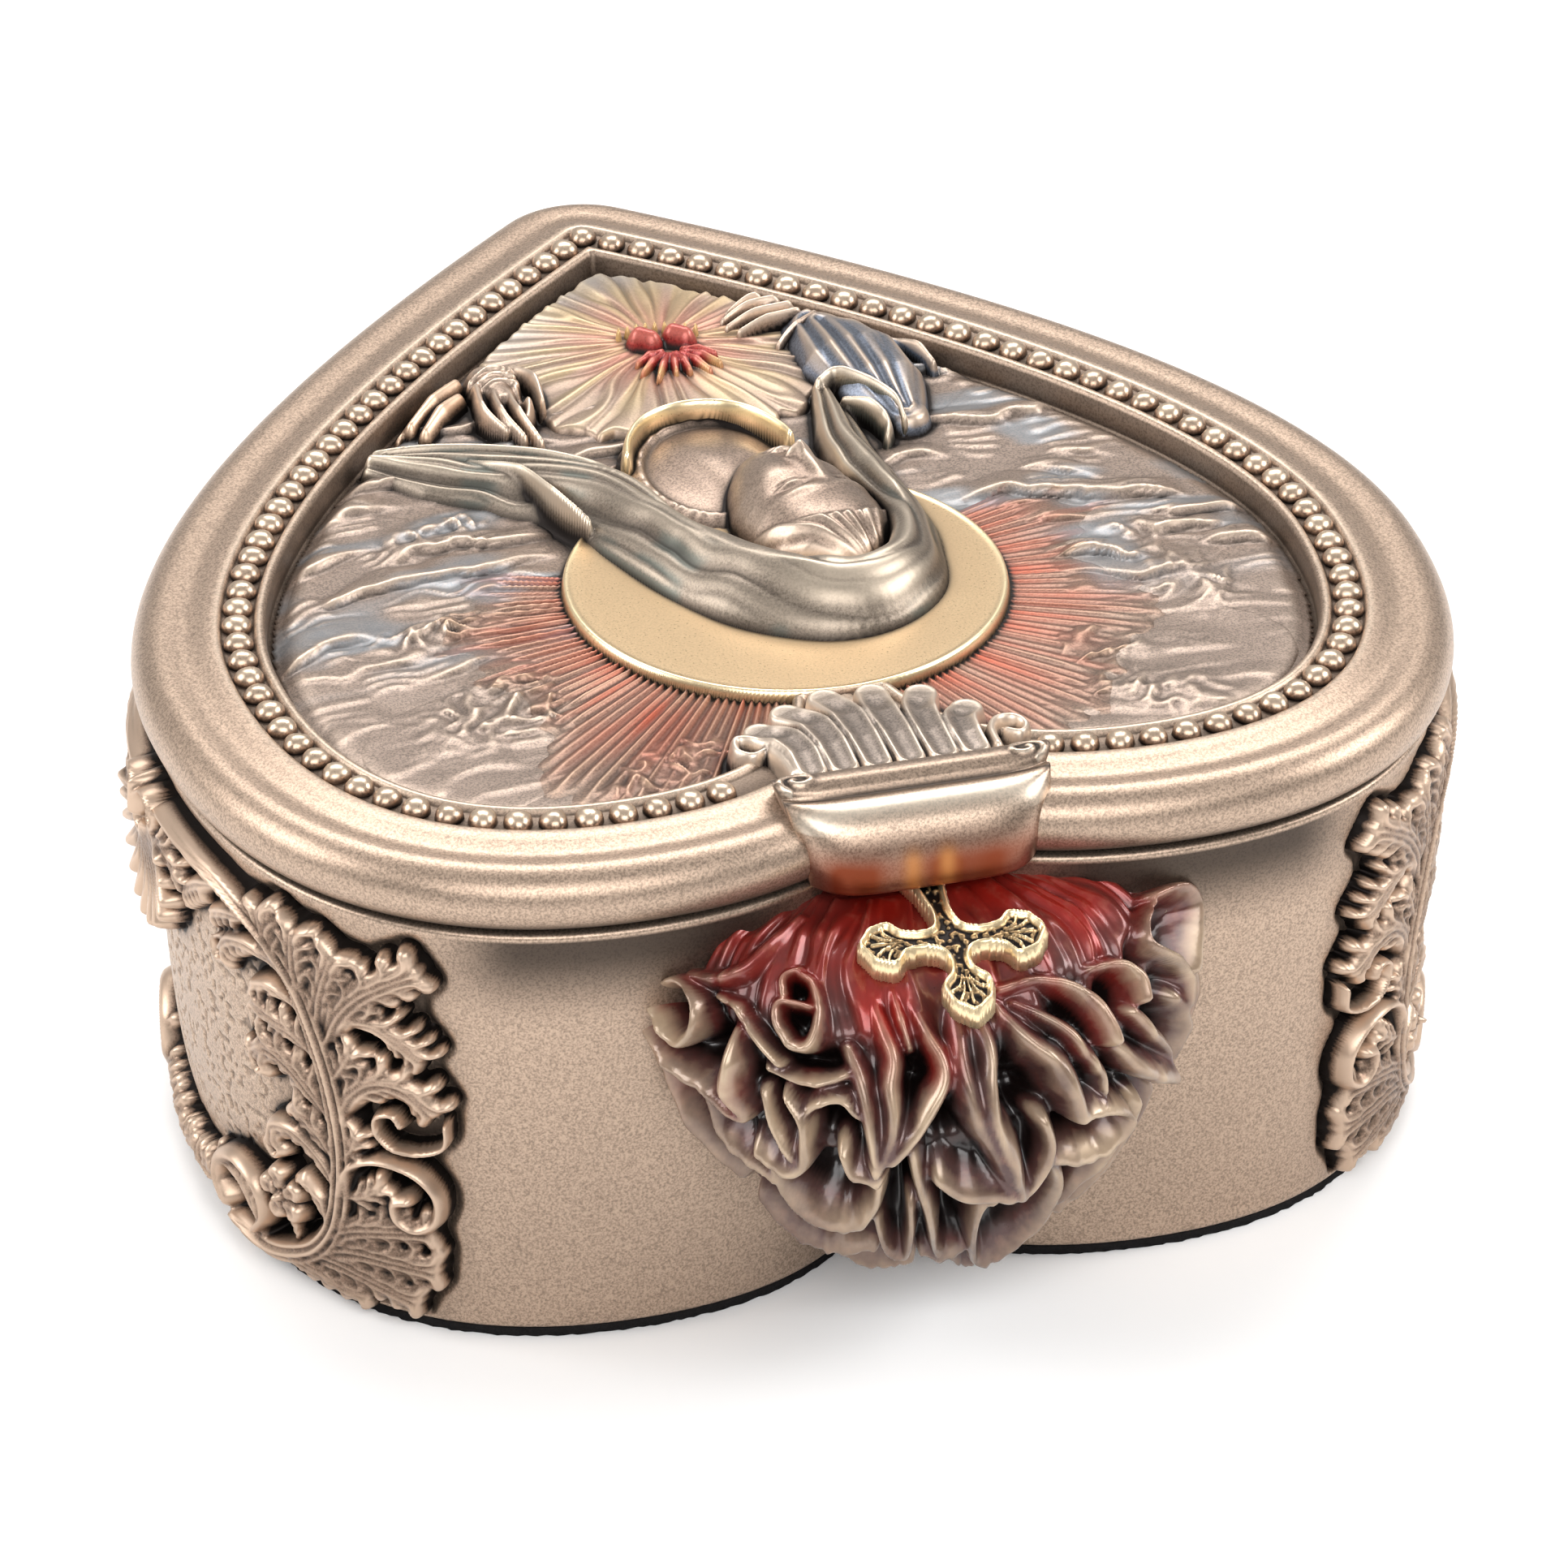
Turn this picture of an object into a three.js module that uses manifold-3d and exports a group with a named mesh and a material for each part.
// Heart trinket box in cold-cast bronze: a heart-shaped base on a felt foot, and a lift-off lid
// with a beaded rim round a relief of a veiled figure. Millimetres, +Z up. The cleft of the heart
// faces -Y, its point faces +Y, and the box rests on z = 0.
import * as THREE from 'three';
import { mergeVertices } from 'three/addons/utils/BufferGeometryUtils.js';
import Module from 'manifold-3d';

const wasm = await Module();
wasm.setup();

// Clearances and working allowances
const fitGap = 0.3; // round every piece that is let in beside another
const lipGap = 0.4; // between the locating lip and the wall
const seamGap = 0.4; // between the base and the closed lid
const overrun = 4; // how far a cutting shape passes the face that it cuts
const reliefRoom = 16; // room over the ground that the tallest relief stays within

// Heart outline: the line that the row of beads follows, right half, from point to cleft
const tipY = 49.4;
const tipSlope = THREE.MathUtils.degToRad(40);
const halfWidth = 48;
const widestY = -18.9;
const lobeX = 23.2;
const lobeY = -49.5;
const cleftX = 2;
const cleftY = -35.5;
const cleftSlope = THREE.MathUtils.degToRad(14);
const tipReach = 25; // reaches are the handle lengths of the outline's curves
const flankReach = 25;
const cheekReach = 19.2;
const lobeReach = 16.6;
const crestReach = 13;
const cleftReach = 8;
const halfSteps = 30; // facets in half of a heart ring

// Base
const footThickness = 1;
const footReach = 4; // reaches below are measured outward from the line of beads
const baseTop = 42.3;
const floorThickness = 2.5;
const wallThickness = 4;
const wallTopReach = 7.8;
const wallFootReach = 4.8;
const footBevel = 0.6;

// Lid
const lidUnder = baseTop + seamGap;
const lipDepth = 2.4;
const lipThickness = 2;
const ceilingRise = 1.3;
const noseReach = 6.2; // centre of the rounded rim
const noseRadius = 3;
const noseRise = 2.8;
const noseStart = THREE.MathUtils.degToRad(-66);
const noseEnd = THREE.MathUtils.degToRad(96);
const noseSteps = 4;
const valleyReach = 4.8;
const valleyRise = 5.6;
const landReach = 1.9;
const landRise = 6.3;
const grooveReach = 1.4;
const grooveDepth = 0.6;
const ridgeReach = 2.2;
const recessReach = 2.6;
const recessDepth = 2.8;

// Beads
const beadPitch = 2.9;
const beadRadius = 1.2;
const beadHeight = 1.4;
const beadValleyShare = 0.5; // width and height of the thread between two beads
const beadBayHalf = 11; // half of the gap that the row leaves for the crest

// Relief of the lid
const panelThickness = 1;
const groundZ = lidUnder + landRise - recessDepth + panelThickness;
const haloX = 0.9;
const haloRadius = 19.3;
const haloMargin = 1.6; // between the halo and the cleft's end of the field
const haloY = cleftY + haloMargin + haloRadius;
const haloThickness = 1;
const haloSegments = 36;
const rayCount = 40;
const rayReach = 14; // longest ray beyond the halo
const rayThickness = 0.5;
const gloryX = 1.5;
const gloryY = 28.6;
const gloryRadius = 17;
const gloryRise = 1.7;
const gloryFlute = 0.35;
const gloryRays = 17;

// Ornament of the walls: a cartouche on each side, measured along the wall from the point
const wallLineReach = 7; // line on which the distance along the wall is measured
const cartoucheMiddle = 91.5;
const cartoucheHalf = 39;
const fieldHalf = 18.5;
const fieldProud = 1.6;
const fieldFoot = 9.5;
const fieldHead = 33.5;
const stemWidth = 2.2;
const leafProud = 2.4;
const leafWidthShare = 0.36;

// Flames in the cleft and the cross on them
const flameX = 1;
const flameBackY = -44; // inside the wall of the cleft
const flameAxisY = -50; // the bush spreads round an upright axis here
const flameFoot = 5;
const flameHalf = 22.3;
const flameDepth = 22.3; // from the axis toward -Y
const flameTop = 41.6;
const bladeHalf = 4.2; // half width of the widest blade
const bladeThickness = 1.3;
const bladeRoot = 1.8; // how deep the blades are rooted in the bush
const bladeLift = 0.6;
const bladeFlare = 2.6;
const crossX = 1.3;
const crossY = -63.5;
const crossZ = 39.8;
const crossArm = 8.8;
const crossThickness = 1.2;
const crossTilt = THREE.MathUtils.degToRad(11);

// Colours, roughness and metalness
const finishes = {
  bronze: { color: 0xb2967c, roughness: 0.42, metalness: 0.75 },
  darkBronze: { color: 0x7c6654, roughness: 0.55, metalness: 0.6 },
  gold: { color: 0xdebe91, roughness: 0.3, metalness: 0.9 },
  patina: { color: 0x837e70, roughness: 0.5, metalness: 0.5 },
  skin: { color: 0xa78b74, roughness: 0.38, metalness: 0.6 },
  sky: { color: 0xa39a90, roughness: 0.5, metalness: 0.5 },
  redRays: { color: 0xbe6450, roughness: 0.5, metalness: 0.4 },
  glory: { color: 0xc8b482, roughness: 0.5, metalness: 0.4 },
  blue: { color: 0x5f6e96, roughness: 0.45, metalness: 0.4 },
  redEnamel: { color: 0x96261c, roughness: 0.2, metalness: 0.3 },
  maroonEnamel: { color: 0x5a1c18, roughness: 0.22, metalness: 0.35 },
  felt: { color: 0x1c1a19, roughness: 0.95, metalness: 0 },
};

// Closed geometry from points and triangles, turned so that its faces point out
function closed(points, triangles) {
  const volume = triangles.reduce((sum, [a, b, c]) => {
    const normal = new THREE.Vector3().crossVectors(points[b], points[c]);
    return sum + points[a].dot(normal);
  }, 0);
  const ordered = volume < 0 ? triangles.map(([a, b, c]) => [a, c, b]) : triangles;
  const geometry = new THREE.BufferGeometry().setFromPoints(points);
  geometry.setIndex(ordered.flat());
  return geometry;
}

// Solid through a row of rings with equal numbers of points, each end closed by a fan
function loft(rings) {
  const size = rings[0].length;
  const points = rings.flat();
  const triangles = [];
  for (let level = 0; level < rings.length - 1; level += 1) {
    const low = level * size;
    const high = low + size;
    for (let i = 0; i < size; i += 1) {
      const next = (i + 1) % size;
      triangles.push([low + i, low + next, high + next]);
      triangles.push([low + i, high + next, high + i]);
    }
  }
  const addCap = (ring, start, turn) => {
    const middle = points.length;
    const sum = ring.reduce((total, point) => total.add(point), new THREE.Vector3());
    points.push(sum.divideScalar(size));
    for (let i = 0; i < size; i += 1) {
      const pair = [start + i, start + ((i + 1) % size)];
      triangles.push(turn ? [middle, pair[1], pair[0]] : [middle, pair[0], pair[1]]);
    }
  };
  addCap(rings[0], 0, true);
  addCap(rings.at(-1), (rings.length - 1) * size, false);
  return closed(points, triangles);
}

// Joining and cutting of closed geometries
function toSolid(geometry) {
  const bare = geometry.clone();
  bare.deleteAttribute('normal');
  bare.deleteAttribute('uv');
  const merged = mergeVertices(bare);
  return new wasm.Manifold(new wasm.Mesh({
    numProp: 3,
    vertProperties: new Float32Array(merged.attributes.position.array),
    triVerts: new Uint32Array(merged.index.array),
  }));
}

function toGeometry(solid) {
  const { vertProperties, triVerts } = solid.getMesh();
  const geometry = new THREE.BufferGeometry();
  geometry.setAttribute('position', new THREE.BufferAttribute(vertProperties, 3));
  geometry.setIndex(new THREE.BufferAttribute(triVerts, 1));
  return geometry;
}

const fuse = (...geometries) => {
  const solids = geometries.map(toSolid);
  return toGeometry(solids.reduce((sum, solid) => sum.add(solid)));
};

const cut = (geometry, ...cutters) => {
  const solids = cutters.map(toSolid);
  return toGeometry(solids.reduce((rest, cutter) => rest.subtract(cutter), toSolid(geometry)));
};

const common = (geometry, other) => toGeometry(toSolid(geometry).intersect(toSolid(other)));

// Heart rings
const outline = new THREE.Path()
  .moveTo(0, tipY)
  .bezierCurveTo(
    tipReach * Math.cos(tipSlope), tipY - tipReach * Math.sin(tipSlope),
    halfWidth, widestY + flankReach, halfWidth, widestY,
  )
  .bezierCurveTo(halfWidth, widestY - cheekReach, lobeX + lobeReach, lobeY, lobeX, lobeY)
  .bezierCurveTo(
    lobeX - crestReach, lobeY,
    cleftX + cleftReach * Math.sin(cleftSlope), cleftY - cleftReach * Math.cos(cleftSlope),
    cleftX, cleftY,
  );
const outlineSteps = 240;
const outlinePoints = outline.getSpacedPoints(outlineSteps);
const outwardAt = outlinePoints.map((point, i) => {
  const before = outlinePoints[Math.max(i - 1, 0)];
  const after = outlinePoints[Math.min(i + 1, outlineSteps)];
  const along = after.clone().sub(before).normalize();
  return new THREE.Vector2(-along.y, along.x);
});
const offsetLine = (reach) => outlinePoints.map((p, i) => p.clone().addScaledVector(outwardAt[i], reach));

// Lengths reached at each point of a line, and the stretch of it that holds a given length
function lengthsAlong(line) {
  const lengths = [0];
  for (let i = 1; i < line.length; i += 1) {
    lengths.push(lengths[i - 1] + line[i].distanceTo(line[i - 1]));
  }
  return lengths;
}
function stretchAt(lengths, target) {
  let next = 1;
  while (next < lengths.length - 1 && lengths[next] < target) next += 1;
  const span = lengths[next] - lengths[next - 1];
  return { next, share: span > 0 ? (target - lengths[next - 1]) / span : 0 };
}

// Points at equal distances along a line of points
function spaced(line, count) {
  const lengths = lengthsAlong(line);
  return Array.from({ length: count + 1 }, (_, k) => {
    const { next, share } = stretchAt(lengths, (lengths.at(-1) * k) / count);
    return line[next - 1].clone().lerp(line[next], share);
  });
}

// Right half of the heart at a reach from the line of beads, from axis to axis
function halfRing(reach) {
  const line = offsetLine(reach);
  const kept = line.filter((point) => point.x > 0);
  const tipTurn = Math.PI / 2 - tipSlope;
  const arcSteps = 6;
  const tipArc = Array.from({ length: arcSteps }, (_, i) => {
    const angle = Math.PI / 2 - (tipTurn * i) / arcSteps;
    return new THREE.Vector2(reach * Math.cos(angle), tipY + reach * Math.sin(angle));
  });
  const tipMeet = new THREE.Vector2(0, kept[0].y + kept[0].x * Math.tan(tipSlope));
  const start = reach > 0 ? tipArc : [tipMeet];
  const end = new THREE.Vector2(0, kept.at(-1).y);
  return spaced([...start, ...kept, end], halfSteps);
}

function heartRing(reach, z) {
  const half = halfRing(reach);
  const right = half.slice(1, -1).reverse();
  const left = half.map((point) => new THREE.Vector2(-point.x, point.y));
  return [...left, ...right].map((point) => new THREE.Vector3(point.x, point.y, z));
}

const heartSolid = (rows) => loft(rows.map(([reach, z]) => heartRing(reach, z)));

// Small flat shapes and soft forms, in a plane with heights above it
const smoothLoop = (points, count) => {
  const line = points.map(([x, y]) => new THREE.Vector3(x, y, 0));
  return new THREE.CatmullRomCurve3(line, true).getPoints(count).slice(0, count);
};

// Rounded mound on a closed outline
function mound(points, low, height, grow = 0) {
  const sides = 2 * points.length;
  const loop = smoothLoop(points, sides);
  const middle = loop.reduce((sum, p) => sum.add(p), new THREE.Vector3()).divideScalar(sides);
  const rowShares = [[0.97, 0.5], [0.72, 0.9], [0.35, 1]];
  const ringAt = (size, z) => loop.map((point) => {
    const arm = point.clone().sub(middle);
    const length = arm.length() * size + grow;
    return middle.clone().addScaledVector(arm.normalize(), length).setZ(z);
  });
  const rows = rowShares.map(([size, rise]) => ringAt(size, low + rise * height + grow));
  return loft([ringAt(1, low - grow), ...rows]);
}

// Value on a row of evenly spaced values
function along(values, share) {
  const place = share * (values.length - 1);
  const index = Math.min(Math.floor(place), values.length - 2);
  return THREE.MathUtils.lerp(values[index], values[index + 1], place - index);
}

// Strap of rounded section that lies along a path on flat ground
const strapSectionShares = [[-1, 0], [-0.92, 0.6], [-0.4, 1], [0.4, 1], [0.92, 0.6], [1, 0]];
const ridgeSectionShares = [[-1, 0], [0, 1], [1, 0]];
const fingerSectionShares = [[-1, 0], [-0.6, 1], [0.6, 1], [1, 0]];

function strap({ path, widths, heights, low, steps, grow = 0, section = strapSectionShares }) {
  const line = path.map(([x, y]) => new THREE.Vector3(x, y, 0));
  const curve = new THREE.CatmullRomCurve3(line, false, 'centripetal');
  const rings = Array.from({ length: steps + 1 }, (_, i) => {
    const share = i / steps;
    const centre = curve.getPointAt(share);
    const ahead = curve.getTangentAt(share);
    const side = new THREE.Vector3(ahead.y, -ahead.x, 0);
    const ending = (i === 0 ? -grow : 0) + (i === steps ? grow : 0);
    const half = along(widths, share) / 2 + grow;
    const height = along(heights, share) + grow;
    return section.map(([across, rise]) => {
      const z = rise > 0 ? low + rise * height : low - grow;
      return centre.clone().addScaledVector(ahead, ending).addScaledVector(side, across * half).setZ(z);
    });
  });
  return loft(rings);
}

// Prism of a shape, standing on a height
function prism(shape, low, thickness, bevel = 0) {
  const geometry = new THREE.ExtrudeGeometry(shape, {
    depth: thickness - bevel,
    bevelEnabled: bevel > 0,
    bevelThickness: bevel,
    bevelSize: bevel,
    bevelOffset: -bevel,
    bevelSegments: 1,
    curveSegments: 6,
    steps: 1,
  });
  return geometry.translate(0, 0, low);
}

// Base shell, floor and foot
const wallReachAt = (z) => {
  const share = (z - footThickness) / (baseTop - footThickness);
  return THREE.MathUtils.lerp(wallFootReach, wallTopReach, share);
};
const innerTopReach = wallTopReach - wallThickness;
const innerFootReach = wallFootReach - wallThickness;
const floorTop = footThickness + floorThickness;
const baseShell = heartSolid([
  [wallFootReach - footBevel, footThickness],
  [wallFootReach, footThickness + footBevel],
  [wallTopReach, baseTop],
  [innerTopReach, baseTop],
  [innerFootReach, floorTop],
]);
const baseCutter = heartSolid([
  [wallFootReach + fitGap, -overrun],
  [wallFootReach + fitGap, footThickness],
  [wallTopReach + fitGap, baseTop + fitGap],
  [wallTopReach + fitGap, baseTop + overrun],
]);
const feltFoot = heartSolid([[footReach, 0], [footReach, footThickness]]);

// Lid shell: locating lip, rounded rim, bead groove and recess
const landZ = lidUnder + landRise;
const grooveZ = landZ - grooveDepth;
const recessZ = landZ - recessDepth;
const lipReach = innerTopReach - lipGap;

function lidTopRows(grow) {
  const nose = Array.from({ length: noseSteps + 1 }, (_, i) => {
    const angle = THREE.MathUtils.lerp(noseStart, noseEnd, i / noseSteps);
    const reach = noseReach + (noseRadius + grow) * Math.cos(angle);
    const z = lidUnder + noseRise + (noseRadius + grow) * Math.sin(angle);
    return [reach, Math.max(z, lidUnder)];
  });
  return [
    ...nose,
    [valleyReach, lidUnder + valleyRise + grow],
    [landReach, landZ + grow],
    [grooveReach - grow, grooveZ + grow],
    [-grooveReach + grow, grooveZ + grow],
    [-ridgeReach - grow, landZ + grow],
    [-recessReach - grow, recessZ + grow],
  ];
}
const lidShell = heartSolid([
  [lipReach - lipThickness, lidUnder + ceilingRise],
  [lipReach - lipThickness, lidUnder - lipDepth],
  [lipReach, lidUnder - lipDepth],
  [lipReach, lidUnder],
  ...lidTopRows(0),
]);
const lidCutter = heartSolid([[noseReach, lidUnder - overrun], ...lidTopRows(fitGap)]);

// Row of beads on one thread in the groove, open at the crest
const beadSectionShares = [[-1, 0], [-0.5, 1], [0.5, 1], [1, 0]];
function beadRow(grow = 0) {
  const half = outline.getLength();
  const places = [];
  for (let reached = 0; reached < half; reached += beadPitch / 2) {
    const index = Math.round((reached / half) * outlineSteps);
    const outward = index === 0 ? new THREE.Vector2(0, 1) : outwardAt[index];
    places.push({ centre: outlinePoints[index], outward });
  }
  const bay = places.findIndex(({ centre }) => centre.y < 0 && centre.x < beadBayHalf + beadRadius);
  const stations = Array.from({ length: 2 * bay - 1 }, (_, i) => i - bay + 1);
  return loft(stations.map((station) => {
    const side = Math.sign(station) || 1;
    const { centre, outward } = places[Math.abs(station)];
    const size = station % 2 === 0 ? 1 : beadValleyShare;
    return beadSectionShares.map(([across, rise]) => {
      const place = centre.clone().addScaledVector(outward, across * (beadRadius * size + grow));
      return new THREE.Vector3(place.x * side, place.y, grooveZ + rise * (beadHeight * size + grow));
    });
  }));
}

// Field inside the beads: the sky panel and the space that its relief stays in
const fieldReach = -recessReach - fitGap;
const skyPanel = heartSolid([[fieldReach, recessZ], [fieldReach, groundZ]]);
const fieldSpace = heartSolid([[fieldReach, groundZ], [fieldReach, groundZ + reliefRoom]]);
const withinField = (geometry) => common(geometry, fieldSpace);

// Places on the lid, as shares of the heart's half width and of its point's distance
const onLid = (shares) => shares.map(([x, y]) => [x * halfWidth, y * tipY]);
// Places in the figure, as shares of the halo's radius from the halo's middle
const onHalo = (shares) => shares.map(([x, y]) => [haloX + x * haloRadius, haloY + y * haloRadius]);

// Veil: left fall, crown and right fall in one strap
const leftFallShares = [[-0.63, 0.311], [-0.5, 0.233], [-0.375, 0.155], [-0.25, 0.039]];
const crownShares = [
  [-0.539, 0.451], [-0.382, 0.085], [-0.134, -0.251], [0.215, -0.4], [0.53, -0.223],
  [0.652, 0.192], [0.63, 0.607], [0.6, 1.02],
];
const rightFallShares = [[0.268, 0.214], [0.275, 0.311]];
const veilPath = [...onLid(leftFallShares), ...onHalo(crownShares), ...onLid(rightFallShares)];
const veilWidthShare = 0.466;
const veilWidth = haloRadius * veilWidthShare;
const veilHeight = 6;
const veilTaperShares = [0.2, 0.9, 1, 1, 0.85, 0.85, 1, 0.9, 0.7, 0.5, 0.5, 0.6, 0.8, 0.5];
const veilHeightShares = [0.3, 0.5, 0.65, 0.8, 0.9, 0.95, 1, 1, 0.9, 0.8, 0.75, 0.75, 0.7, 0.4];
const veilSteps = 28;
const veil = (grow = 0) => strap({
  path: veilPath,
  widths: veilTaperShares.map((share) => share * veilWidth),
  heights: veilHeightShares.map((share) => share * veilHeight),
  low: groundZ,
  steps: veilSteps,
  grow,
});

// Head of the figure: an egg of a head with a plain brow, nose, lips and chin
const headPathShares = [[0.065, 0.943], [0.103, 0.806], [0.165, 0.533], [0.252, 0.259], [0.339, -0.064]];
const headWidthShare = 0.684;
const headWidth = haloRadius * headWidthShare;
const headHeight = 6.6;
const headTaperShares = [0.3, 0.62, 0.84, 0.98, 1, 0.96, 0.86, 0.5];
const headHeightShares = [0.35, 0.72, 0.86, 0.94, 1, 1, 0.85, 0.4];
const headSteps = 10;
const head = (grow = 0) => strap({
  path: onHalo(headPathShares),
  widths: headTaperShares.map((share) => share * headWidth),
  heights: headHeightShares.map((share) => share * headHeight),
  low: groundZ,
  steps: headSteps,
  grow,
});
const nosePathShares = [[0.215, 0.669], [0.202, 0.582], [0.207, 0.408]];
const noseWidthShare = 0.15;
const noseWidth = headWidth * noseWidthShare;
const noseProud = 1.3;
const nose = strap({
  path: onHalo(nosePathShares),
  widths: [noseWidth, noseWidth, noseWidth / 2],
  heights: [headHeight, headHeight + noseProud, headHeight + noseProud / 2],
  low: groundZ,
  steps: 4,
});

// Bust below the head, with the gold trim of its neckline
const bustShares = [
  [-0.469, 0.906], [-0.457, 1.254], [-0.295, 1.527], [0.028, 1.59], [0.277, 1.478], [0.401, 1.254],
  [0.413, 0.955], [0.103, 0.806],
];
const bustHeight = 3.4;
const bust = (grow = 0) => mound(onHalo(bustShares), groundZ, bustHeight, grow);
const trimShares = [
  [-0.432, 1.055], [-0.345, 1.279], [-0.171, 1.423], [0.053, 1.423], [0.227, 1.291], [0.314, 1.055],
];
const trimWidth = 1.5;
const trimHeight = 2.6;
const trimLow = groundZ + bustHeight / 2; // the trim lies in a groove of the bust
const trimSteps = 9;
const collarTrim = (grow = 0) => strap({
  path: onHalo(trimShares),
  widths: [trimWidth, trimWidth],
  heights: [trimHeight, trimHeight],
  low: trimLow - grow,
  steps: trimSteps,
  grow,
});

// Flaming heart at the middle of the glory
const heartWidth = 7;
const heartHeight = 3.2;
const smallHeartShares = [
  [0, 0.42], [0.3, 0.2], [0.5, -0.12], [0.42, -0.38], [0.2, -0.42], [0, -0.24], [-0.2, -0.42],
  [-0.42, -0.38], [-0.5, -0.12], [-0.3, 0.2],
];
const smallHeart = (grow = 0) => mound(
  smallHeartShares.map(([x, y]) => [gloryX + x * heartWidth, gloryY + y * heartWidth]),
  groundZ,
  heartHeight,
  grow,
);
const flameletShares = [[-0.3, -1.05], [0, -1.25], [0.3, -1.1]];
const flamelets = (grow = 0) => fuse(...flameletShares.map(([x, y]) => strap({
  path: [[gloryX, gloryY - heartWidth / 4], [gloryX + x * heartWidth, gloryY + y * heartWidth]],
  widths: [heartWidth / 3, heartWidth / 4, heartWidth / 12],
  heights: [heartHeight * 0.9, heartHeight * 0.8, heartHeight / 3],
  low: groundZ,
  steps: 2,
  grow,
  section: ridgeSectionShares,
})));

// Hands, each a palm with four fingers that lie side by side
const fingerWidth = 1.9;
const fingerHeight = 3;
const palmHeight = 3.4;
function hand(palmShares, rootShares, tipShares, grow) {
  const roots = onLid(rootShares);
  const tips = onLid(tipShares);
  const fingers = roots.map((root, i) => strap({
    path: [root, tips[i]],
    widths: [fingerWidth, fingerWidth, fingerWidth * 0.55],
    heights: [fingerHeight, fingerHeight, fingerHeight / 2],
    low: groundZ,
    steps: 2,
    grow,
    section: fingerSectionShares,
  }));
  return fuse(mound(onLid(palmShares), groundZ, palmHeight, grow), ...fingers);
}
const leftPalmShares = [
  [-0.38, 0.486], [-0.36, 0.408], [-0.28, 0.389], [-0.235, 0.447], [-0.245, 0.544], [-0.33, 0.564],
];
const leftRootShares = [[-0.355, 0.457], [-0.325, 0.437], [-0.295, 0.437], [-0.265, 0.457]];
const leftTipShares = [[-0.36, 0.301], [-0.33, 0.243], [-0.295, 0.262], [-0.26, 0.33]];
const leftHand = (grow = 0) => hand(leftPalmShares, leftRootShares, leftTipShares, grow);
const rightPalmShares = [
  [0.3, 0.564], [0.27, 0.641], [0.29, 0.709], [0.36, 0.68], [0.42, 0.602], [0.4, 0.544],
];
const rightRootShares = [[0.34, 0.583], [0.33, 0.617], [0.32, 0.651], [0.31, 0.68]];
const rightTipShares = [[0.16, 0.559], [0.16, 0.598], [0.175, 0.636], [0.2, 0.67]];
const rightHand = (grow = 0) => hand(rightPalmShares, rightRootShares, rightTipShares, grow);

// Sleeves: a blue pleated one at the right hand, a bronze cuff at the left
const sleeveShares = [
  [0.27, 0.194], [0.26, 0.369], [0.28, 0.525], [0.38, 0.559], [0.49, 0.486], [0.51, 0.33], [0.42, 0.185],
];
const sleeveHeight = 3.2;
const pleatWidth = 3.4;
const pleatShares = [
  [[0.31, 0.233], [0.31, 0.369], [0.33, 0.505]],
  [[0.37, 0.214], [0.385, 0.35], [0.39, 0.515]],
  [[0.43, 0.233], [0.45, 0.35], [0.445, 0.486]],
];
const sleeve = (grow = 0) => fuse(
  mound(onLid(sleeveShares), groundZ, sleeveHeight, grow),
  ...pleatShares.map((shares) => strap({
    path: onLid(shares),
    widths: [pleatWidth / 2, pleatWidth, pleatWidth / 2],
    heights: [sleeveHeight, sleeveHeight * 1.3, sleeveHeight],
    low: groundZ,
    steps: 4,
    grow,
    section: ridgeSectionShares,
  })),
);
const cuffShares = [
  [-0.57, 0.428], [-0.52, 0.515], [-0.42, 0.583], [-0.385, 0.534], [-0.4, 0.428], [-0.48, 0.369],
];
const cuffHeight = 2.6;
const cuff = (grow = 0) => mound(onLid(cuffShares), groundZ, cuffHeight, grow);

// Halo behind the head
function disc(x, y, radius, low, thickness) {
  const ringAt = (z) => Array.from({ length: haloSegments }, (_, i) => {
    const angle = (2 * Math.PI * i) / haloSegments;
    return new THREE.Vector3(x + radius * Math.cos(angle), y + radius * Math.sin(angle), z);
  });
  return loft([ringAt(low), ringAt(low + thickness)]);
}
const halo = (grow = 0) => disc(haloX, haloY, haloRadius + grow, groundZ - grow, haloThickness + 2 * grow);
const figure = (grow) => [veil(grow), head(grow), bust(grow), collarTrim(grow)];
const veilInside = veilPath.map(([x, y]) => new THREE.Vector2(x, y));
const figureBay = prism(new THREE.Shape(veilInside), groundZ - overrun, 2 * overrun);

// Crest of flutes above the banner, at the cleft
const crestFootY = -49;
const crestX = 1;
const crestHeight = 3.9;
const fluteCount = 7;
const fluteWidth = 3.2;
const fluteFootStep = 2.35;
const fluteBow = 0.25; // sideways bow of a flute, for each place away from the middle
const fluteSectionShares = [[-1, 0], [-0.92, 0.7], [0, 1], [0.92, 0.7], [1, 0]];
const crestLength = 13.4;
const fluteHeadShares = [[5.12, 0.56], [3.62, 0.79], [1.86, 0.955], [0, 1]];
const flute = (i, grow) => {
  const side = i - (fluteCount - 1) / 2;
  const rank = (fluteCount - 1) / 2 - Math.abs(side);
  const [acrossShare, alongShare] = fluteHeadShares[rank];
  const tipX = crestX + Math.sign(side) * acrossShare * fluteFootStep;
  const headY = crestFootY + alongShare * crestLength;
  const footX = crestX + side * fluteFootStep;
  const middleX = (footX + tipX) / 2 + side * fluteBow;
  return strap({
    path: [[footX, crestFootY], [middleX, (crestFootY + headY) / 2], [tipX, headY]],
    widths: [fluteWidth * 0.9, fluteWidth, fluteWidth * 1.15, fluteWidth * 0.8],
    heights: [crestHeight, crestHeight, crestHeight, crestHeight * 0.7],
    low: groundZ,
    steps: 4,
    grow,
    section: fluteSectionShares,
  });
};
const crest = (grow = 0) => fuse(...Array.from({ length: fluteCount }, (_, i) => flute(i, grow)));

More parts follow.
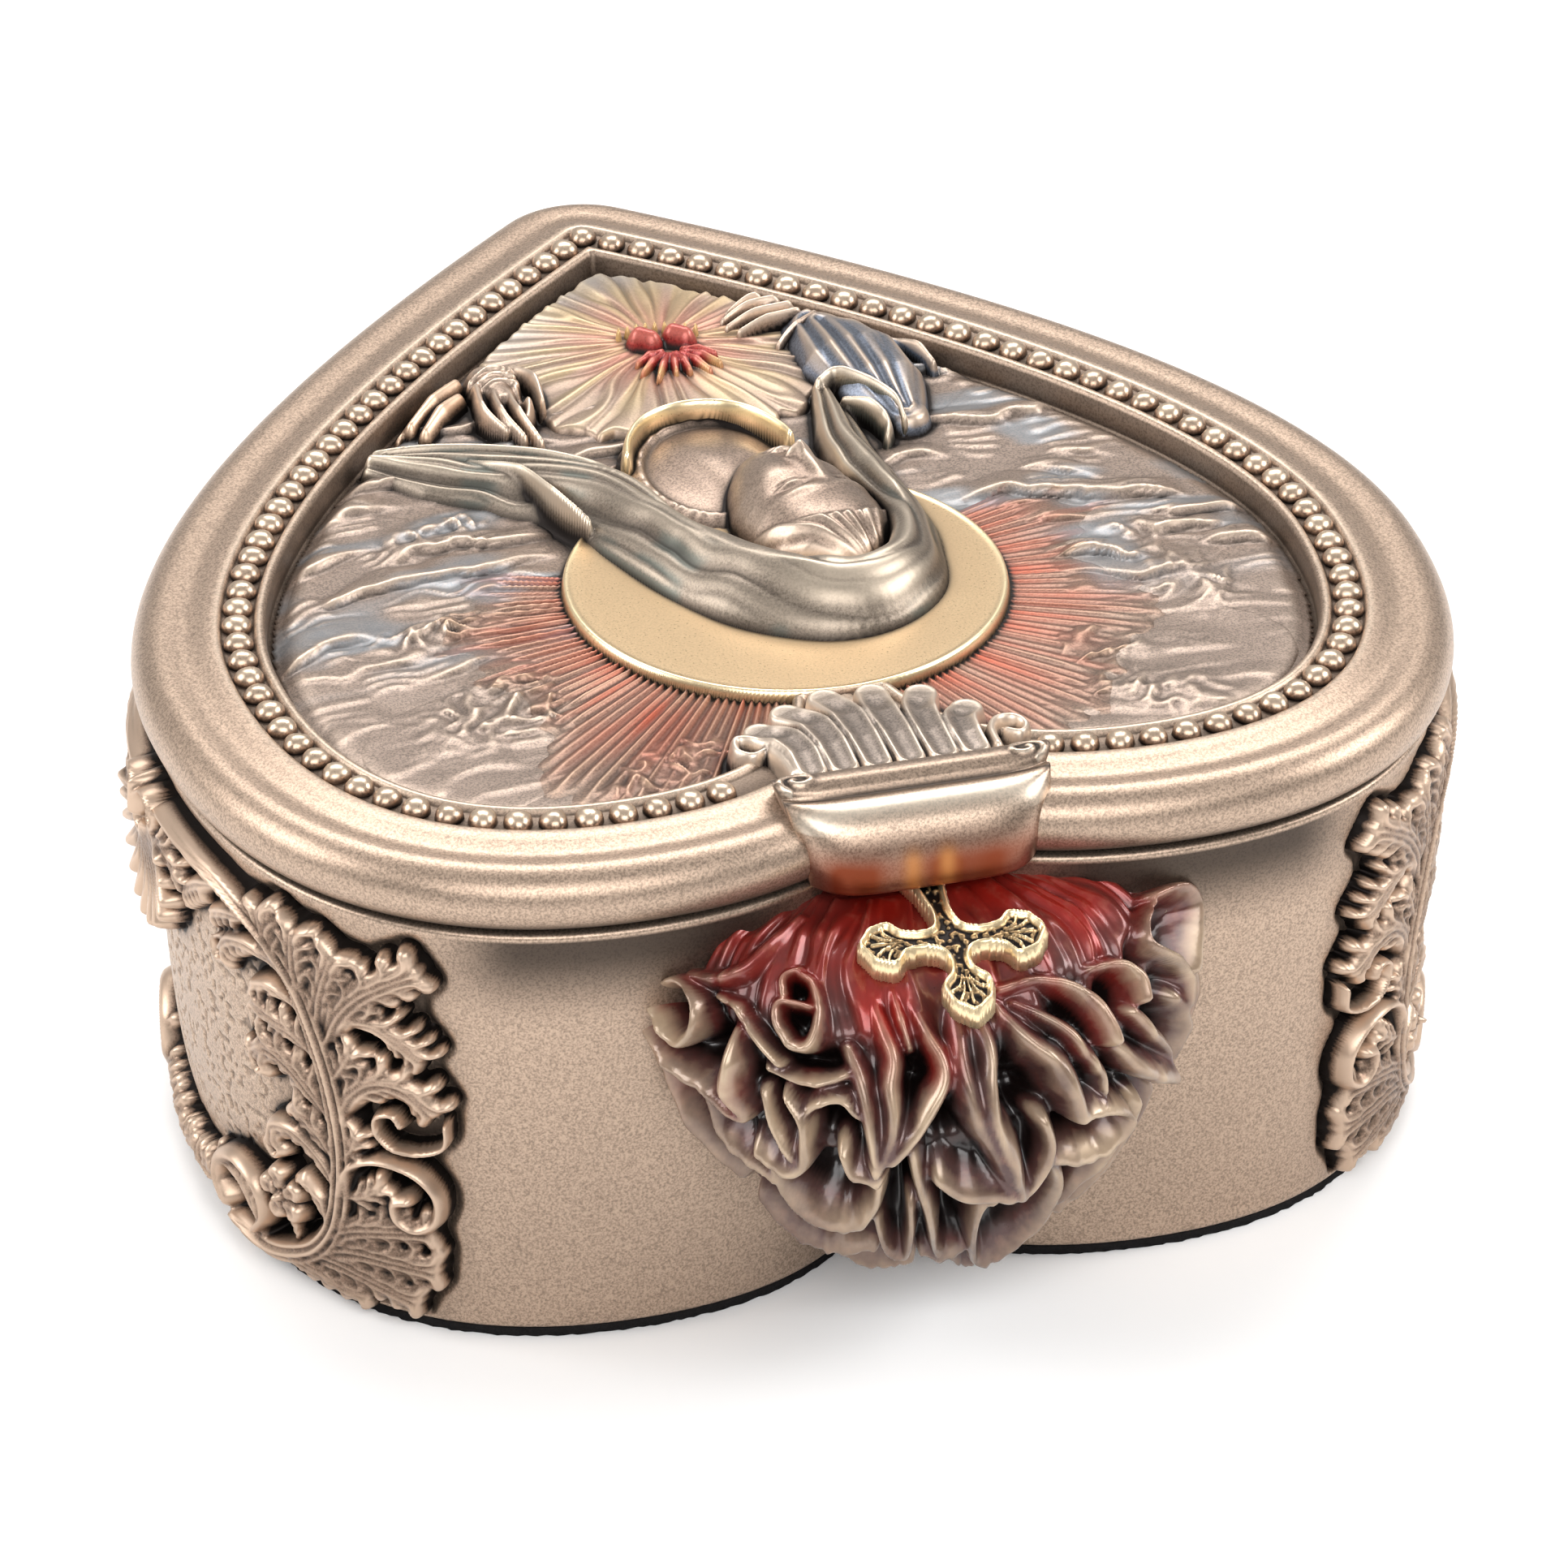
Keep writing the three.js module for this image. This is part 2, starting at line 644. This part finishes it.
// Banner that rolls over the rim at the cleft
const bannerHalf = 12.4;
const bannerX = 1.2;
const bannerTaperShare = 0.18;
const bannerTopY = -49.3;
const bannerDepth = 9.2;
const bannerRise = 8.3;
const bannerSectionShares = [
  [0, 0], [0, 0.98], [0.12, 1], [0.3, 0.93], [0.7, 0.9], [0.93, 0.66], [1, 0.4], [0.93, 0.17], [0.78, 0],
];
const bannerStationShares = [-1, -0.94, -0.75, -0.35, 0, 0.35, 0.75, 0.94, 1];
const bannerSizeShares = [0.86, 0.96, 1, 1, 1, 1, 1, 0.96, 0.86];
const banner = loft(bannerStationShares.map((station, i) => bannerSectionShares.map(([depth, rise]) => {
  const taper = 1 - bannerTaperShare * (1 - rise);
  return new THREE.Vector3(
    bannerX + station * bannerHalf * taper,
    bannerTopY - depth * bannerDepth * bannerSizeShares[i],
    lidUnder + rise * bannerRise * bannerSizeShares[i],
  );
})));

// Red rays on the open side of the halo, between the two falls of the veil
const rayStart = THREE.MathUtils.degToRad(158);
const rayEnd = THREE.MathUtils.degToRad(386);
const onHaloRing = (angle, beyond) => new THREE.Vector2(
  haloX + (haloRadius + beyond) * Math.cos(angle),
  haloY + (haloRadius + beyond) * Math.sin(angle),
);
function haloRays(grow = 0, room = 0) {
  const spikes = Array.from({ length: 2 * rayCount + 1 }, (_, i) => {
    const angle = THREE.MathUtils.lerp(rayStart, rayEnd, i / (2 * rayCount));
    const longShare = 0.72 + 0.28 * Math.sin(5 * angle + 1);
    return onHaloRing(angle, rayReach * (i % 2 === 0 ? longShare * 0.5 : longShare) + grow);
  });
  const inner = Array.from({ length: haloSegments + 1 }, (_, i) => {
    const angle = THREE.MathUtils.lerp(rayEnd, rayStart, i / haloSegments);
    return onHaloRing(angle, 2 * fitGap - grow);
  });
  return prism(new THREE.Shape([...spikes, ...inner]), groundZ - grow, rayThickness + 2 * grow + room);
}

// Cloud banks either side of the rays
const leftCloudShares = [
  [-0.9, -0.369], [-0.9, -0.097], [-0.8, 0.117], [-0.62, 0.194], [-0.48, 0.058], [-0.53, -0.117],
  [-0.66, -0.253], [-0.74, -0.408],
];
const lowLeftCloudShares = [
  [-0.88, -0.505], [-0.7, -0.486], [-0.56, -0.602], [-0.5, -0.758], [-0.6, -0.894], [-0.78, -0.777],
];
const rightCloudShares = [
  [0.4, 0.078], [0.58, 0.35], [0.72, 0.194], [0.86, -0.019], [0.92, -0.272], [0.84, -0.486], [0.7, -0.408],
  [0.62, -0.194], [0.48, -0.078],
];
const lowRightCloudShares = [[0.86, -0.583], [0.7, -0.544], [0.56, -0.7], [0.56, -0.894], [0.76, -0.816]];
const cloudHeight = 0.8;
const wispHeight = 1.4;
const wispWidth = 2.6;
const wispShares = {
  leftCloud: [
    [[-0.86, -0.12], [-0.7, -0.1], [-0.54, -0.07]], [[-0.8, 0.02], [-0.66, 0.07], [-0.56, 0.09]],
    [[-0.86, -0.26], [-0.73, -0.22], [-0.58, -0.17]], [[-0.84, -0.37], [-0.75, -0.34], [-0.65, -0.29]],
  ],
  rightCloud: [
    [[0.5, 0.08], [0.66, 0], [0.82, -0.08]], [[0.52, 0.17], [0.68, 0.14], [0.78, 0.09]],
    [[0.5, -0.1], [0.68, -0.15], [0.86, -0.19]], [[0.61, -0.22], [0.75, -0.27], [0.85, -0.3]],
  ],
};
const wisp = (shares) => strap({
  path: onLid(shares),
  widths: [wispWidth / 3, wispWidth, wispWidth / 3],
  heights: [cloudHeight / 2, wispHeight, cloudHeight / 2],
  low: groundZ,
  steps: 6,
  section: ridgeSectionShares,
});
const cloud = (shares, wisps = []) => fuse(mound(onLid(shares), groundZ, cloudHeight), ...wisps.map(wisp));
const clouds = {
  upper_left: cloud(leftCloudShares, wispShares.leftCloud),
  lower_left: cloud(lowLeftCloudShares),
  upper_right: cloud(rightCloudShares, wispShares.rightCloud),
  lower_right: cloud(lowRightCloudShares),
};

// Glory of fine rays round the flaming heart
const gloryRowShares = [1, 0.4];
const gloryRing = (size, rise) => Array.from({ length: 2 * gloryRays }, (_, i) => {
  const angle = (Math.PI * i) / gloryRays;
  const radius = gloryRadius * size;
  const z = groundZ + rise + (i % 2 === 0 ? gloryFlute : 0);
  return new THREE.Vector3(gloryX + radius * Math.cos(angle), gloryY + radius * Math.sin(angle), z);
});
const gloryDisc = loft([
  gloryRing(1, 0).map((point) => point.setZ(groundZ)),
  ...gloryRowShares.map((size) => gloryRing(size, gloryRise * (1 - size) + gloryFlute)),
]);

// Wall of the base: places along it, up it and out from it
const wallLine = offsetLine(wallLineReach);
const wallLengths = lengthsAlong(wallLine);
function onWall(point) {
  const { next, share } = stretchAt(wallLengths, point.x);
  const foot = outlinePoints[next - 1].clone().lerp(outlinePoints[next], share);
  const outward = outwardAt[next - 1].clone().lerp(outwardAt[next], share).normalize();
  const place = foot.addScaledVector(outward, wallReachAt(point.y) + fitGap + point.z);
  return new THREE.Vector3(place.x, place.y, point.y);
}
function bent(geometry, side) {
  const merged = mergeVertices(geometry);
  const { position } = merged.attributes;
  const points = Array.from({ length: position.count }, (_, i) => {
    const point = onWall(new THREE.Vector3().fromBufferAttribute(position, i));
    return point.setX(point.x * side);
  });
  const triangles = [];
  for (let i = 0; i < merged.index.count; i += 3) {
    triangles.push([merged.index.getX(i), merged.index.getX(i + 1), merged.index.getX(i + 2)]);
  }
  return closed(points, triangles);
}

// Acanthus: a stem with lobed leaves and two volutes; end is 1 toward the cleft, -1 toward the point
const wallHeight = baseTop - footThickness;
const onCartouche = (shares, end) => shares.map(([x, y]) => [
  cartoucheMiddle + end * x * cartoucheHalf,
  footThickness + y * wallHeight,
]);
const stemShares = [
  [0.36, 0.06], [0.6, 0.12], [0.74, 0.3], [0.75, 0.52], [0.72, 0.72], [0.56, 0.86], [0.34, 0.93],
];
const leafShares = [
  [[0.72, 0.68], [0.84, 0.84], [0.93, 0.97]],
  [[0.74, 0.56], [0.87, 0.68], [0.99, 0.7]],
  [[0.75, 0.42], [0.86, 0.55], [1, 0.52]],
  [[0.72, 0.64], [0.58, 0.7], [0.46, 0.66]],
  [[0.75, 0.46], [0.62, 0.58], [0.5, 0.54]],
  [[0.74, 0.32], [0.64, 0.42], [0.51, 0.4]],
  [[0.66, 0.16], [0.84, 0.22], [0.97, 0.24]],
  [[0.44, 0.9], [0.3, 0.84], [0.18, 0.83]],
];
const voluteShares = [
  [[0.74, 0.24], [0.86, 0.34], [0.97, 0.36], [1, 0.28], [0.94, 0.24]],
  [[0.56, 0.1], [0.44, 0.2], [0.32, 0.2], [0.26, 0.12], [0.3, 0.08]],
];
const leafTaperShares = [0.4, 1, 0.7, 0.9, 0.12];
function leaf(shares, end, grow) {
  const path = onCartouche(shares, end);
  const length = Math.hypot(path[2][0] - path[0][0], path[2][1] - path[0][1]);
  return strap({
    path,
    widths: leafTaperShares.map((share) => share * length * leafWidthShare),
    heights: [leafProud, leafProud, leafProud * 0.5],
    low: 0,
    steps: leafTaperShares.length - 1,
    grow,
    section: ridgeSectionShares,
  });
}
function stem(shares, end, width, steps, grow) {
  return strap({
    path: onCartouche(shares, end),
    widths: [width, width, width * 0.6],
    heights: [leafProud, leafProud],
    low: 0,
    steps,
    grow,
    section: ridgeSectionShares,
  });
}
function acanthus(side, end, grow = 0) {
  const pieces = [
    stem(stemShares, end, stemWidth, 9, grow),
    ...leafShares.map((shares) => leaf(shares, end, grow)),
    ...voluteShares.map((shares) => stem(shares, end, stemWidth * 0.8, 5, grow)),
  ];
  return fuse(...pieces.map((piece) => bent(piece, side)));
}

// Shell palmette at the head of each cartouche
const palmetteShares = [[-0.24, 0.74], [-0.14, 0.66], [0, 0.62], [0.14, 0.66], [0.24, 0.74]];
const palmetteRootShare = [0, 0.93];
const palmetteLobe = 5.4;
const palmette = (side, grow = 0) => fuse(...palmetteShares.map((tip) => bent(strap({
  path: onCartouche([palmetteRootShare, tip], 1),
  widths: [palmetteLobe * 0.5, palmetteLobe, palmetteLobe * 0.7],
  heights: [leafProud, leafProud * 1.2, leafProud * 0.7],
  low: 0,
  steps: 3,
  grow,
  section: ridgeSectionShares,
}), side)));

// Rosette near the foot of each acanthus
const rosetteShare = [0.55, 0.25];
const rosetteRadius = 2.6;
const petalCount = 5;
function rosette(side, end, grow = 0) {
  const [[x, y]] = onCartouche([rosetteShare], end);
  const petals = Array.from({ length: petalCount }, (_, i) => {
    const angle = (2 * Math.PI * i) / petalCount + Math.PI / 2;
    return strap({
      path: [[x, y], [x + rosetteRadius * Math.cos(angle), y + rosetteRadius * Math.sin(angle)]],
      widths: [rosetteRadius / 2, rosetteRadius],
      heights: [leafProud * 1.2, leafProud],
      low: 0,
      steps: 1,
      grow,
      section: ridgeSectionShares,
    });
  });
  return fuse(...petals.map((petal) => bent(petal, side)));
}

// Stippled field in the middle of each cartouche
function sideField(side) {
  const columns = 10;
  const bulgeShares = [[0, 0], [0, 0.5], [0.18, 0.9], [0.5, 1], [0.82, 0.9], [1, 0.5], [1, 0]];
  const rings = Array.from({ length: columns + 1 }, (_, i) => {
    const place = (2 * i) / columns - 1;
    const swell = Math.sqrt(Math.max(1 - place ** 4, 0.3));
    return bulgeShares.map(([up, out]) => {
      const z = THREE.MathUtils.lerp(fieldFoot, fieldHead, 0.5 + (up - 0.5) * swell);
      return new THREE.Vector3(cartoucheMiddle + place * fieldHalf, z, out * fieldProud * swell);
    });
  });
  const cutters = [1, -1].flatMap((end) => [acanthus(side, end, fitGap), rosette(side, end, fitGap)]);
  return cut(bent(loft(rings), side), ...cutters, palmette(side, fitGap));
}

// Flames: a bush that swells out of the cleft, and the cupped blades that spring from it
const bushRowShares = [
  // level, how far across, how far ahead, rise
  [0, 0.54, 0.25, 0.984], [0.2, 0.85, 0.58, 0.943], [0.4, 1, 0.87, 0.82], [0.55, 1, 1, 0.656],
  [0.7, 0.9, 0.94, 0.464], [0.85, 0.67, 0.74, 0.246], [1, 0.43, 0.49, 0.082],
];
const bushSides = 14;
const bushTurn = 200; // degrees that the bush spreads round its axis
function bushPlace(bearing, level) {
  const next = Math.max(bushRowShares.findIndex(([row]) => row >= Math.min(level, 1)), 1);
  const [before, after] = [bushRowShares[next - 1], bushRowShares[next]];
  const share = (Math.max(level, 0) - before[0]) / (after[0] - before[0]);
  const [across, ahead, rise] = [1, 2, 3].map((k) => THREE.MathUtils.lerp(before[k], after[k], share));
  const angle = THREE.MathUtils.degToRad(bearing);
  return new THREE.Vector3(
    flameX + across * flameHalf * Math.sin(angle),
    flameAxisY - ahead * flameDepth * Math.cos(angle),
    THREE.MathUtils.lerp(flameFoot, flameTop, rise),
  );
}
const bush = loft(bushRowShares.map(([level]) => [
  ...Array.from({ length: bushSides + 1 }, (_, i) => bushPlace(bushTurn * (i / bushSides - 0.5), level)),
  bushPlace(0, level).setY(flameBackY),
]));
const bladeShares = [
  // places of a blade's middle as bearing in degrees and level, its width and its flare
  [[[4, 0.2], [5, 0.4], [8, 0.52], [10, 0.64], [10, 0.74]], 1, 1],
  [[[-13, 0.18], [-11, 0.35], [-12, 0.45], [-17, 0.56], [-23, 0.66]], 0.72, 1],
  [[[-4, 0.44], [-5, 0.54], [-8, 0.63], [-7, 0.74]], 0.67, 0.5],
  [[[-39, 0.15], [-37, 0.27], [-36, 0.35], [-35, 0.45]], 0.5, 0.8],
  [[[-24, 0.28], [-31, 0.42], [-40, 0.51], [-50, 0.6]], 0.67, 0.9],
  [[[-50, 0.18], [-50, 0.32], [-47, 0.44], [-43, 0.54]], 0.43, 0.7],
  [[[-56, 0.2], [-63, 0.34], [-66, 0.44], [-69, 0.56]], 0.62, 0.8],
  [[[-46, 0.48], [-44, 0.6], [-43, 0.72]], 0.78, 0.9],
  [[[-62, 0.5], [-62, 0.64], [-58, 0.78]], 0.74, 0.8],
  [[[-27, 0.5], [-30, 0.64], [-31, 0.78]], 0.83, 0.9],
  [[[-18, 0.66], [-21, 0.78], [-24, 0.9]], 0.83, 0.8],
  [[[-42, 0.72], [-40, 0.84], [-36, 0.95]], 0.78, 0.8],
  [[[3, 0.66], [5, 0.78], [8, 0.91]], 0.88, 0.8],
  [[[14, 0.54], [26, 0.64], [42, 0.71]], 0.72, 0.9],
  [[[20, 0.24], [23, 0.36], [27, 0.49]], 0.36, 0.8],
  [[[24, 0.38], [28, 0.5], [38, 0.58], [51, 0.66]], 0.71, 0.9],
  [[[37, 0.24], [39, 0.36], [40, 0.47]], 0.36, 0.8],
  [[[54, 0.22], [55, 0.36], [59, 0.48], [62, 0.6]], 0.64, 1],
  [[[60, 0.12], [65, 0.26], [67, 0.4]], 0.71, 1.1],
  [[[44, 0.44], [52, 0.56], [59, 0.68]], 0.6, 0.8],
  [[[20, 0.7], [32, 0.79], [45, 0.85]], 0.81, 0.8],
  [[[54, 0.66], [58, 0.75], [60, 0.84]], 0.7, 0.8],
  [[[22, 0.83], [26, 0.92], [28, 1]], 0.74, 0.6],
];
const bladeWidthShares = [0.45, 0.85, 1, 0.72, 0.2];
const bladeSteps = 6;
const bladeEdgeShares = [-1, -0.5, 0, 0.5, 1];
const bladeCupShare = 0.8;
const levelStep = 0.04; // either side of a place, to read the slope of the bush there
function blade([places, width, flare]) {
  const rings = Array.from({ length: bladeSteps + 1 }, (_, i) => {
    const share = i / bladeSteps;
    const [bearing, level] = [0, 1].map((k) => along(places.map((place) => place[k]), share));
    const half = width * bladeHalf * along(bladeWidthShares, share);
    const aside = bushPlace(bearing + 1, level).sub(bushPlace(bearing - 1, level)).normalize();
    const down = bushPlace(bearing, level + levelStep).sub(bushPlace(bearing, level - levelStep));
    const out = down.cross(aside).normalize();
    const rooted = THREE.MathUtils.smoothstep(share, 0, 0.55);
    const lift = THREE.MathUtils.lerp(-bladeRoot, bladeLift, rooted) + flare * bladeFlare * share ** 3;
    const spot = (v, under) => bushPlace(bearing, level)
      .addScaledVector(aside, v * half)
      .addScaledVector(out, lift + bladeCupShare * rooted * half * v * v - under);
    return [
      ...bladeEdgeShares.map((v) => spot(v, 0)),
      ...[...bladeEdgeShares].reverse().map((v) => spot(v, bladeThickness)),
    ];
  });
  return loft(rings);
}
const flames = cut(fuse(bush, ...bladeShares.map(blade)), baseCutter);

// Foliate cross that lies on the flames, its foot toward the cleft
const crossBar = 2.4;
const crossLeaf = 2.4; // radius of the leaf at the end of each arm
const crossLeafSides = 8;
function cross(grow = 0) {
  const thick = crossThickness + 2 * grow;
  const reach = crossArm - crossLeaf;
  const bar = (length, width) => new THREE.BoxGeometry(length + 2 * grow, width + 2 * grow, thick);
  const leafRadius = crossLeaf + grow;
  const leafAt = (x, y) => new THREE.CylinderGeometry(leafRadius, leafRadius, thick, crossLeafSides)
    .rotateX(Math.PI / 2)
    .translate(x, y, 0);
  return fuse(
    bar(2 * reach, crossBar),
    bar(crossBar, 2 * reach),
    leafAt(reach, 0), leafAt(-reach, 0), leafAt(0, reach), leafAt(0, -reach),
  ).rotateX(crossTilt).translate(crossX, crossY, crossZ);
}

// Assembly
const heartTrinketBox = new THREE.Group();
function addPiece(name, geometry, finish) {
  const mesh = new THREE.Mesh(geometry, new THREE.MeshStandardMaterial(finishes[finish]));
  mesh.name = name;
  heartTrinketBox.add(mesh);
}

addPiece('felt_foot_pad', feltFoot, 'felt');
addPiece('base_shell', baseShell, 'bronze');
[[1, 'right'], [-1, 'left']].forEach(([side, name]) => {
  addPiece(`side_field_${name}`, sideField(side), 'bronze');
  const stems = [acanthus(side, 1, fitGap), acanthus(side, -1, fitGap)];
  addPiece(`palmette_${name}`, cut(palmette(side), ...stems), 'darkBronze');
  [[1, 'front'], [-1, 'rear']].forEach(([end, place]) => {
    const stemAndLeaves = cut(acanthus(side, end), rosette(side, end, fitGap));
    addPiece(`acanthus_${place}_${name}`, stemAndLeaves, 'darkBronze');
    addPiece(`rosette_${place}_${name}`, rosette(side, end), 'darkBronze');
  });
});
addPiece('flames', cut(flames, cross(fitGap)), 'maroonEnamel');
addPiece('flame_cross', cross(), 'gold');

addPiece('lid_shell', lidShell, 'bronze');
addPiece('bead_border', beadRow(), 'bronze');
addPiece('sky_panel', skyPanel, 'sky');
addPiece('halo_disc', withinField(cut(halo(), figureBay, veil(fitGap))), 'gold');
addPiece('veil', cut(veil(), head(fitGap)), 'patina');
addPiece('head', fuse(head(), nose), 'skin');
addPiece('collar_trim', cut(collarTrim(), head(fitGap), veil(fitGap)), 'gold');
addPiece('bust', cut(bust(), head(fitGap), veil(fitGap), collarTrim(fitGap)), 'skin');
addPiece('flaming_heart', fuse(smallHeart(), flamelets()), 'redEnamel');
addPiece('left_hand', cut(leftHand(), veil(fitGap)), 'skin');
addPiece('left_cuff', withinField(cut(cuff(), leftHand(fitGap), veil(fitGap))), 'darkBronze');
addPiece('right_hand', withinField(rightHand()), 'skin');
addPiece('blue_sleeve', withinField(cut(sleeve(), rightHand(fitGap), veil(fitGap))), 'blue');
addPiece('glory_rays', withinField(cut(
  gloryDisc,
  smallHeart(fitGap), flamelets(fitGap), leftHand(fitGap), rightHand(fitGap), sleeve(fitGap), cuff(fitGap),
  ...figure(fitGap),
)), 'glory');
addPiece('halo_rays', withinField(cut(haloRays(), crest(fitGap), veil(fitGap))), 'redRays');
Object.entries(clouds).forEach(([place, bank]) => {
  const lumps = cut(bank, haloRays(fitGap, reliefRoom), veil(fitGap), sleeve(fitGap), cuff(fitGap));
  addPiece(`clouds_${place}`, withinField(lumps), 'sky');
});
addPiece('crest_flutes', cut(crest(), halo(fitGap), lidCutter, beadRow(fitGap)), 'bronze');
addPiece('banner_scroll', cut(banner, lidCutter, beadRow(fitGap), crest(fitGap)), 'bronze');

export default heartTrinketBox;
